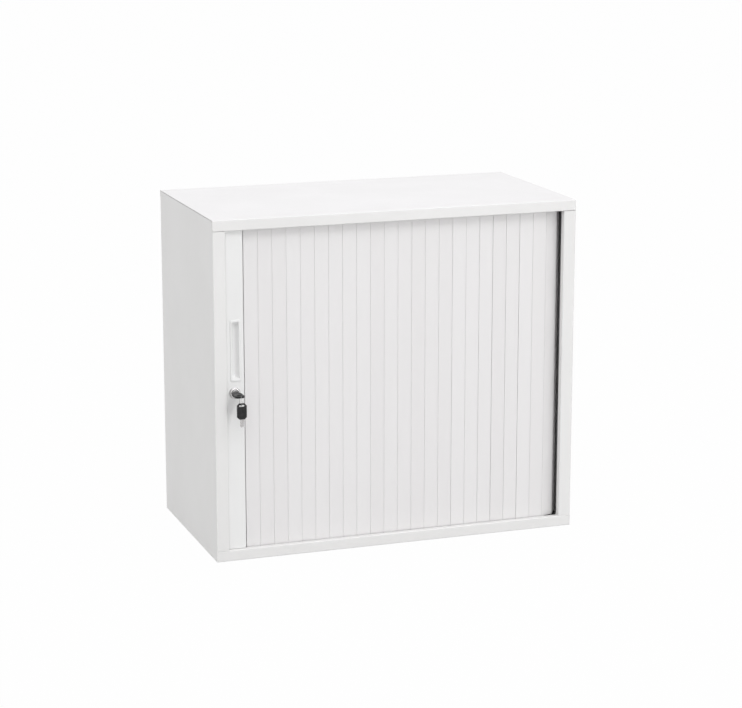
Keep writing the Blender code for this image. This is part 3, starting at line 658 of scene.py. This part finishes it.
base_line = [
    (FRONT + LIP_FOOT, 0.0),
    (FRONT, 0.0),
    (FRONT, LIP),
    (FRONT + LIP_RETURN, LIP),
    (FRONT + LIP_RETURN, FLOOR_LEVEL),
    (REAR, FLOOR_LEVEL),
    (REAR, 0.0),
]
base_section = sheet_outline(base_line, BEND, SHEET)
base_sheet = prism("bottom_panel_sheet", base_section, PROFILE, -SIDE, SIDE, white_coat)
carve(base_sheet, *inner_ends((FRONT + SHEET, -OVERRUN), (REAR + OVERRUN, LIP + OVERRUN)))
stand_for(soften(base_sheet, SHEET_EDGE), "bottom_panel")


# Slats, which share one mesh for each slack of their joints

first_low, first_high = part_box("slat_01")
second_low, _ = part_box("slat_02")
slat_face = first_low.y
slat_thickness = first_high.y - first_low.y
first_joint = first_low.x
pitch = second_low.x - first_low.x
corner_x = first_joint + FLAT_SLATS * pitch
front_corner = Vector((corner_x, slat_face + CORNER_RADIUS))
cup_low, cup_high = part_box("handle_cup")
stile_low, stile_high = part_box("lead_stile")
slat_bottom = LIP - TRACK_TUCK
slat_top = HEIGHT - slat_bottom


def make_slat(name, slack, material):
    """The slat's section with its lap, drawn out upwards, with a peg at each end."""
    end = pitch - LAP_WIDTH - slack
    lap_end = pitch - slack
    lap_back = LAP_DEPTH + LAP_THICKNESS
    lap_root = end - SLAT_FLANK * lap_back / slat_thickness
    corners = [
        (0.0, 0.0),
        (end, 0.0),
        (end, LAP_DEPTH),
        (lap_end, LAP_DEPTH),
        (lap_end - LAP_THICKNESS / 2, lap_back),
        (lap_root, lap_back),
        (end - SLAT_FLANK, slat_thickness),
        (SLAT_FLANK, slat_thickness),
    ]
    radii = [SLAT_EDGE, SLAT_EDGE, 0.0, 0.0, 0.0, 0.0, SLAT_BACK_EDGE, SLAT_BACK_EDGE]
    outline = rounded_polygon(corners, radii, SLAT_EDGE_STEPS)
    slat = prism(name, outline, PLAN, slat_bottom, slat_top, material)
    middle = slat_thickness / 2
    for low, high in ((first_low.z, slat_bottom + PEG), (slat_top - PEG, first_high.z)):
        peg = block(
            "peg",
            (PEG_INSET - PEG / 2, middle - PEG / 2, low),
            (PEG_INSET + PEG / 2, middle + PEG / 2, high),
            material,
        )
        carve(slat, peg, operation="UNION")
    return soften(slat, SLAT_END_EDGE)


def face_point(distance):
    """A point of the slats' faces at a distance along the way from the first joint."""
    flat = corner_x - first_joint
    quarter = CORNER_RADIUS * math.pi / 2
    if distance <= flat:
        return Vector((first_joint + distance, slat_face))
    if distance <= flat + quarter:
        angle = (distance - flat) / CORNER_RADIUS
        return front_corner + CORNER_RADIUS * Vector((math.sin(angle), -math.cos(angle)))
    return Vector((corner_x + CORNER_RADIUS, front_corner.y + distance - flat - quarter))


def next_joint(distance):
    """The distance along the way at which a slat that starts at this one ends."""
    near = distance
    far = distance + pitch * math.pi
    start = face_point(distance)
    for _ in range(HALVINGS):
        middle = (near + far) / 2
        if (face_point(middle) - start).length < pitch:
            near = middle
        else:
            far = middle
    return (near + far) / 2


slat_patterns = [make_slat("slat_pattern", slack, slat_white) for slack in JOINT_SLACKS]
draw = random.Random(JOINT_SEED)
distance = 0.0
for number in range(1, FLAT_SLATS + CORNER_SLATS + 1):
    ahead = next_joint(distance)
    left_end = face_point(distance)
    along = face_point(ahead) - left_end
    looseness = draw.random() * min(1.0, number / FLAT_SLATS) ** JOINT_SPREAD
    slat = slat_patterns[int(looseness * len(slat_patterns))].copy()
    slat.name = f"slat_{number:02d}_profile"
    slat.location = (left_end.x, left_end.y, 0.0)
    slat.rotation_euler.z = math.atan2(along.y, along.x)
    bpy.context.scene.collection.objects.link(slat)
    stand_for(slat, f"slat_{number:02d}")
    distance = ahead
for pattern in slat_patterns:
    bpy.data.objects.remove(pattern)


# Lead stile and its handle cup

stile_right = stile_high.x - STILE_STRIP
stile_line = [
    (stile_right + STILE_STRIP, slat_face),
    (stile_right, slat_face),
    (stile_right, stile_low.y),
    (stile_low.x, stile_low.y),
    (stile_low.x, stile_high.y),
]
stile = prism(
    "lead_stile_profile",
    sheet_outline(stile_line, STILE_BEND, STILE_WALL),
    PLAN,
    LIP + STILE_PLAY,
    HEIGHT - LIP - STILE_PLAY,
    stile_white,
)
cup_centre = ((cup_low.x + cup_high.x) / 2, (cup_low.z + cup_high.z) / 2)
recess_width = CUP_WIDTH - 2 * CUP_BORDER
recess_height = CUP_HEIGHT - 2 * CUP_END_BORDER
body_width = recess_width + 2 * CUP_WALL
body_height = recess_height + 2 * CUP_WALL
rosette_low, rosette_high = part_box("lock_rosette")
lock_x = (rosette_low.x + rosette_high.x) / 2
lock_z = (rosette_low.z + rosette_high.z) / 2
housing_low, housing_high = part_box("lock_housing")
barrel_low, barrel_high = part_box("lock_barrel")
cup_hole = rounded_rectangle(cup_centre, body_width + 2 * GAP, body_height + 2 * GAP, CUP_ROUND + GAP)
lock_hole = arc((lock_x, lock_z), HOUSING_RADIUS + GAP, 0.0, math.tau, TURN_STEPS)[:-1]
hole_back = -stile_low.y - OVERRUN
hole_front = -stile_low.y + OVERRUN
carve(
    stile,
    prism("cup_hole", cup_hole, ELEVATION, hole_back, hole_front, stile_white),
    prism("lock_hole", lock_hole, ELEVATION, hole_back, hole_front, stile_white),
)
stand_for(soften(stile, STILE_EDGE), "lead_stile")


def border_ring(share, y):
    """A ring of the border, at a share of the way from the plate's edge to the recess."""
    outer = rounded_rectangle(cup_centre, CUP_WIDTH, CUP_HEIGHT, CUP_ROUND)
    inner = rounded_rectangle(cup_centre, recess_width, recess_height, CUP_ROUND)
    outline = [edge.lerp(mouth, share) for edge, mouth in zip(outer, inner)]
    return on_plane(outline, ELEVATION, -y)


def bowl_ring(share, y):
    """A ring of the recess, whose sides have come in by a share of their own slopes."""
    left, right, bottom, top = (share * slope for slope in CUP_SLOPES)
    centre = (cup_centre[0] + (left - right) / 2, cup_centre[1] + (bottom - top) / 2)
    radius = CUP_ROUND * (1 - share / 2)
    outline = rounded_rectangle(centre, recess_width - left - right, recess_height - bottom - top, radius)
    return on_plane(outline, ELEVATION, -y)


def make_cup():
    """The cup in one skin: round its back, over the rounded border and down into the recess."""
    border_base = cup_low.y + CUP_BEAD
    plate_back = stile_low.y - GAP
    depth = cup_high.y - CUP_WALL - border_base
    body = rounded_rectangle(cup_centre, body_width, body_height, CUP_ROUND)
    rings = [on_plane(body, ELEVATION, -cup_high.y), on_plane(body, ELEVATION, -plate_back)]
    rings.append(border_ring(0.0, plate_back))
    for step in range(2 * FILLET_STEPS + 1):
        angle = math.pi / 2 * step / FILLET_STEPS
        rings.append(border_ring((1 - math.cos(angle)) / 2, border_base - CUP_BEAD * math.sin(angle)))
    for step in range(1, 2 * FILLET_STEPS + 1):
        share = step / (2 * FILLET_STEPS)
        rings.append(bowl_ring(share, border_base + depth * share * (2 - share)))
    return loft("handle_cup_moulding", rings, cup_white)


stand_for(make_cup(), "handle_cup")


# Cam lock

def turned(name, profile, material):
    """A closed profile of (radius, y) points turned round the lock's axis."""
    rings = []
    for step in range(TURN_STEPS):
        angle = math.tau * step / TURN_STEPS
        across = Vector((math.cos(angle), 0.0, math.sin(angle)))
        middle = Vector((lock_x, 0.0, lock_z))
        rings.append([middle + across * radius + Vector((0.0, y, 0.0)) for radius, y in profile])
    return loft(name, rings, material, closed=True)


rosette_radius = (rosette_high.x - rosette_low.x) / 2
rosette_bore = HOUSING_RADIUS + GAP
rosette_front = rosette_low.y
rosette = turned("lock_rosette_ring", [
    (rosette_radius, rosette_high.y),
    (rosette_radius, rosette_high.y - 2 * LOCK_STEP),
    (rosette_radius - LOCK_STEP, rosette_high.y - 3 * LOCK_STEP),
    (rosette_radius - 2 * LOCK_STEP, rosette_front + LOCK_STEP),
    (rosette_radius - 3 * LOCK_STEP, rosette_front),
    (rosette_bore, rosette_front),
    (rosette_bore, rosette_high.y),
], nickel)
stand_for(soften(rosette, LOCK_EDGE, limit=LOCK_EDGE_ANGLE), "lock_rosette")

flange_radius = (housing_high.x - housing_low.x) / 2
barrel_radius = (barrel_high.x - barrel_low.x) / 2
flange_back = housing_low.y + HOUSING_FLANGE_HEIGHT
housing_bore = barrel_radius + GAP
housing = turned("lock_housing_turned", [
    (HOUSING_RADIUS, housing_high.y),
    (HOUSING_RADIUS, flange_back),
    (flange_radius, flange_back),
    (flange_radius, housing_low.y + 2 * LOCK_STEP),
    (flange_radius - LOCK_STEP, housing_low.y + LOCK_STEP),
    (flange_radius - 3 * LOCK_STEP, housing_low.y),
    (housing_bore + LOCK_STEP, housing_low.y),
    (housing_bore, housing_low.y + LOCK_STEP),
    (housing_bore, housing_high.y),
], nickel)
stand_for(soften(housing, LOCK_EDGE, limit=LOCK_EDGE_ANGLE), "lock_housing")

shoulder = barrel_high.y - CAM_THICKNESS - GAP
barrel_bore_end = barrel_high.y - CAM_SCREW_DEPTH
barrel = turned("lock_barrel_turned", [
    (AXIS_RADIUS, barrel_bore_end),
    (CAM_SCREW_BORE, barrel_bore_end),
    (CAM_SCREW_BORE, barrel_high.y),
    (TENON_RADIUS, barrel_high.y),
    (TENON_RADIUS, shoulder),
    (barrel_radius, shoulder),
    (barrel_radius, barrel_low.y + LOCK_STEP),
    (barrel_radius - LOCK_STEP, barrel_low.y),
    (AXIS_RADIUS, barrel_low.y),
], nickel)
blade_low, blade_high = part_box("key_blade")
bow_low, bow_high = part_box("key_bow")
keyway = block(
    "keyway",
    (lock_x - KEYWAY_WIDTH / 2, barrel_low.y - OVERRUN, lock_z - KEYWAY_HEIGHT / 2),
    (lock_x + KEYWAY_WIDTH / 2, blade_high.y + GAP, lock_z + KEYWAY_HEIGHT / 2),
    nickel,
)
carve(barrel, keyway)
stand_for(soften(barrel, LOCK_EDGE), "lock_barrel")


# Keys and their ring

def bow_outline(half, end, other, inward):
    """A chamfered bow seen flat, centred on zero across."""
    near = end + inward * KEY_CHAMFER
    far = other - inward * KEY_CHAMFER
    return [
        (half - KEY_CHAMFER, end), (half, near), (half, far), (half - KEY_CHAMFER, other),
        (KEY_CHAMFER - half, other), (-half, far), (-half, near), (KEY_CHAMFER - half, end),
    ]


def make_bow(name, plane, low, high, x, end, other, socket, hole_size):
    """A key's bow with its rounded hole near the end, a dish in each face and a socket for the blade."""
    inward = math.copysign(1.0, other - end)
    half = (bow_high.x - bow_low.x) / 2
    rim, hole_width, hole_length = hole_size
    corners = [(x + across, along) for across, along in bow_outline(half, end, other, inward)]
    outline = rounded_polygon(corners, [KEY_EDGE] * len(corners), CORNER_STEPS)
    bow = prism(name, outline, plane, low, high, key_black)
    hole_centre = (x, end + inward * (rim + hole_length / 2))
    hole = rounded_rectangle(hole_centre, hole_width, hole_length, KEY_ROUND)
    dish_start = end + inward * (rim + hole_length + KEY_RIM)
    dish_end = other - inward * KEY_RIM
    dish_middle = (x, (dish_start + dish_end) / 2)
    dish_width = 2 * half - 2 * KEY_RIM
    dish = rounded_rectangle(dish_middle, dish_width, abs(dish_end - dish_start), KEY_ROUND)
    carve(
        bow,
        prism("hole", hole, plane, low - OVERRUN, high + OVERRUN, key_black),
        prism("dish", dish, plane, low - OVERRUN, low + KEY_DISH, key_black),
        prism("dish", dish, plane, high - KEY_DISH, high + OVERRUN, key_black),
        socket,
    )
    return soften(bow, KEY_EDGE / 2, KEY_EDGE_SEGMENTS)


def blade_edge(x, half, root, reach, depths):
    """One toothed edge of a blade, from the bow to the tip."""
    tooth = math.copysign(BLADE_TOOTH, half)
    return [
        (x + half - tooth * depth, root + reach * share)
        for share, depth in zip(BLADE_CUT_SHARES, depths)
    ]


def blade_outline(x, root, tip):
    """A blade with its toothed edges and pointed tip, seen flat."""
    half = (blade_high.x - blade_low.x) / 2
    reach = tip - root
    right = blade_edge(x, half, root, reach, BLADE_DEPTH_SHARES)
    left = blade_edge(x, -half, root, reach, BLADE_DEPTH_SHARES[::-1])
    point = [(x + half / 2, tip), (x - half / 2, tip)]
    return [(x + half, root)] + right + point + left[::-1] + [(x - half, root)]


def make_blade(name, plane, low, high, x, root, tip):
    """A flat blade with a groove milled along each face."""
    blade = prism(name, blade_outline(x, root, tip), plane, low, high, key_steel)
    middle = (root + tip) / 2
    length = abs(tip - root) * GROOVE_LENGTH_SHARE
    lower = (-GROOVE_OFFSET, low - OVERRUN, low + BLADE_GROOVE)
    upper = (GROOVE_OFFSET, high - BLADE_GROOVE, high + OVERRUN)
    tools = []
    for offset, start, end in (lower, upper):
        groove = rounded_rectangle((x + offset, middle), BLADE_TOOTH, length, GROOVE_ROUND)
        tools.append(prism("groove", groove, plane, start, end, key_steel))
    carve(blade, *tools)
    return soften(blade, BLADE_EDGE)


stand_for(
    make_blade("key_blade_cut", PLAN, blade_low.z, blade_high.z, lock_x, blade_low.y, blade_high.y),
    "key_blade",
)
key_socket = block(
    "socket",
    (blade_low.x - GAP, blade_low.y - GAP, blade_low.z - GAP),
    (blade_high.x + GAP, bow_high.y + OVERRUN, blade_high.z + GAP),
    key_black,
)
stand_for(
    make_bow(
        "key_bow_moulded",
        PLAN,
        bow_low.z,
        bow_high.z,
        lock_x,
        bow_low.y,
        bow_high.y,
        key_socket,
        KEY_HOLE,
    ),
    "key_bow",
)
spare_blade_low, spare_blade_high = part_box("spare_key_blade")
spare_bow_low, spare_bow_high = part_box("spare_key_bow")
spare_x = (spare_bow_low.x + spare_bow_high.x) / 2
stand_for(
    make_blade(
        "spare_key_blade_cut",
        ELEVATION,
        -spare_blade_high.y,
        -spare_blade_low.y,
        spare_x,
        spare_blade_high.z,
        spare_blade_low.z,
    ),
    "spare_key_blade",
)
spare_socket = block(
    "socket",
    (spare_blade_low.x - GAP, spare_blade_low.y - GAP, spare_bow_low.z - OVERRUN),
    (spare_blade_high.x + GAP, spare_blade_high.y + GAP, spare_blade_high.z + GAP),
    key_black,
)
stand_for(
    make_bow(
        "spare_key_bow_moulded",
        ELEVATION,
        -spare_bow_high.y,
        -spare_bow_low.y,
        spare_x,
        spare_bow_high.z,
        spare_bow_low.z,
        spare_socket,
        SPARE_KEY_HOLE,
    ),
    "spare_key_bow",
)


def make_ring():
    """A split ring: one wire wound twice, side by side."""
    low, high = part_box("key_ring")
    middle = (low + high) / 2
    rings = []
    count = RING_TURNS * RING_SEGMENTS
    for step in range(count + 1):
        share = step / count
        angle = math.tau * RING_TURNS * share
        across = Vector((0.0, math.cos(angle), math.sin(angle)))
        offset = RING_WIRE * (2 * share - 1) * (RING_TURNS - 1)
        centre = middle + across * RING_RADIUS + Vector((offset, 0.0, 0.0))
        ring = []
        for turn in range(WIRE_SEGMENTS):
            swing = math.tau * turn / WIRE_SEGMENTS
            outwards = across * math.cos(swing) + Vector((math.sin(swing), 0.0, 0.0))
            ring.append(centre + RING_WIRE * outwards)
        rings.append(ring)
    return loft("key_ring_split", rings, ring_steel)


stand_for(make_ring(), "key_ring")


# Floor, light and camera

def background_rays(tree):
    """One for the rays that show the background: from the camera, by reflection and through glass."""
    path = tree.nodes.new("ShaderNodeLightPath")
    first = tree.nodes.new("ShaderNodeMath")
    first.operation = "MAXIMUM"
    second = tree.nodes.new("ShaderNodeMath")
    second.operation = "MAXIMUM"
    tree.links.new(path.outputs["Is Camera Ray"], first.inputs[0])
    tree.links.new(path.outputs["Is Glossy Ray"], first.inputs[1])
    tree.links.new(first.outputs[0], second.inputs[0])
    tree.links.new(path.outputs["Is Transmission Ray"], second.inputs[1])
    return second.outputs[0]


def make_world():
    """Even light from all round, behind which the rays that show the background see plain white."""
    world = bpy.data.worlds.new("studio")
    world.use_nodes = True
    bpy.context.scene.world = world
    tree = world.node_tree
    light = tree.nodes["Background"]
    light.inputs["Color"].default_value = (*WHITE, 1.0)
    light.inputs["Strength"].default_value = AMBIENT
    shown = tree.nodes.new("ShaderNodeBackground")
    shown.inputs["Color"].default_value = (*WHITE, 1.0)
    shown.inputs["Strength"].default_value = 1.0
    mix = tree.nodes.new("ShaderNodeMixShader")
    tree.links.new(background_rays(tree), mix.inputs["Fac"])
    tree.links.new(light.outputs["Background"], mix.inputs[1])
    tree.links.new(shown.outputs["Background"], mix.inputs[2])
    tree.links.new(mix.outputs["Shader"], tree.nodes["World Output"].inputs["Surface"])


def floor_finish():
    """White floor that shows as the background with the object's shadow faint on it."""
    material = new_material("floor_white", roughness=0.9, Base_Color=FLOOR_COLOUR)
    tree = material.node_tree
    shader = tree.nodes["Principled BSDF"]
    bumps(material, (noise(material, scale=40.0, detail=3.0), FLOOR_GRAIN))
    shown = add_node(material, "ShaderNodeEmission", {"Color": (*WHITE, 1.0), "Strength": 1.0})
    rays = background_rays(tree)
    share = add_node(material, "ShaderNodeMath", {0: rays, 1: FLOOR_SHOWN}, operation="MULTIPLY")
    mix = add_node(material, "ShaderNodeMixShader", {
        "Fac": share.outputs[0],
        1: shader.outputs["BSDF"],
        2: shown.outputs["Emission"],
    })
    tree.links.new(mix.outputs["Shader"], tree.nodes["Material Output"].inputs["Surface"])
    return material


def add_lamp(name, kind, bearing, height, distance):
    """A lamp that shines on the cabinet from a bearing and a height, both in degrees."""
    bearing = math.radians(bearing)
    height = math.radians(height)
    toward = Vector((
        math.sin(bearing) * math.cos(height),
        -math.cos(bearing) * math.cos(height),
        math.sin(height),
    ))
    data = bpy.data.lights.new(name, kind)
    lamp = add_object(name, data)
    lamp.location = Vector((0.0, 0.0, HEIGHT / 2)) + toward * distance
    lamp.rotation_euler = toward.to_track_quat("Z", "Y").to_euler()
    return data


def add_sun(name, light, angle):
    share, bearing, height = light
    sun = add_lamp(name, "SUN", bearing, height, SUN_DISTANCE)
    sun.energy = share * math.pi
    sun.angle = angle


def add_softbox(name, light, distance, size, colour):
    share, bearing, height = light
    box = add_lamp(name, "AREA", bearing, height, distance)
    box.energy = share * (math.pi * distance) ** 2
    box.shape = "RECTANGLE"
    box.size, box.size_y = size
    box.color = colour


make_world()
floor = block(
    "floor",
    (-FLOOR_REACH, -FLOOR_REACH, -2 * FLOOR_DROP),
    (FLOOR_REACH, FLOOR_REACH, -FLOOR_DROP),
    floor_finish(),
)

add_softbox("key_light", KEY_LIGHT, KEY_DISTANCE, KEY_SIZE, WHITE)
add_sun("side_light", SIDE_LIGHT, SIDE_ANGLE)
add_softbox("fill_light", FILL_LIGHT, FILL_DISTANCE, FILL_SIZE, WHITE)
add_softbox("strip_light", STRIP_LIGHT, STRIP_DISTANCE, STRIP_SIZE, WHITE)
add_softbox("top_light", TOP_LIGHT, TOP_DISTANCE, TOP_SIZE, TOP_COLOUR)

look = Vector((
    math.sin(CAMERA_YAW) * math.cos(CAMERA_PITCH),
    math.cos(CAMERA_YAW) * math.cos(CAMERA_PITCH),
    -math.sin(CAMERA_PITCH),
))
camera_data = bpy.data.cameras.new("camera")
camera_data.sensor_fit = "HORIZONTAL"
camera_data.sensor_width = SENSOR_WIDTH
camera_data.lens = FOCAL_PIXELS / IMAGE_WIDTH * SENSOR_WIDTH
camera = add_object("camera", camera_data)
camera.location = CAMERA_AIM - CAMERA_DISTANCE * look
camera.rotation_euler = look.to_track_quat("-Z", "Y").to_euler()
bpy.context.scene.camera = camera
bpy.context.scene.view_settings.view_transform = "Standard"
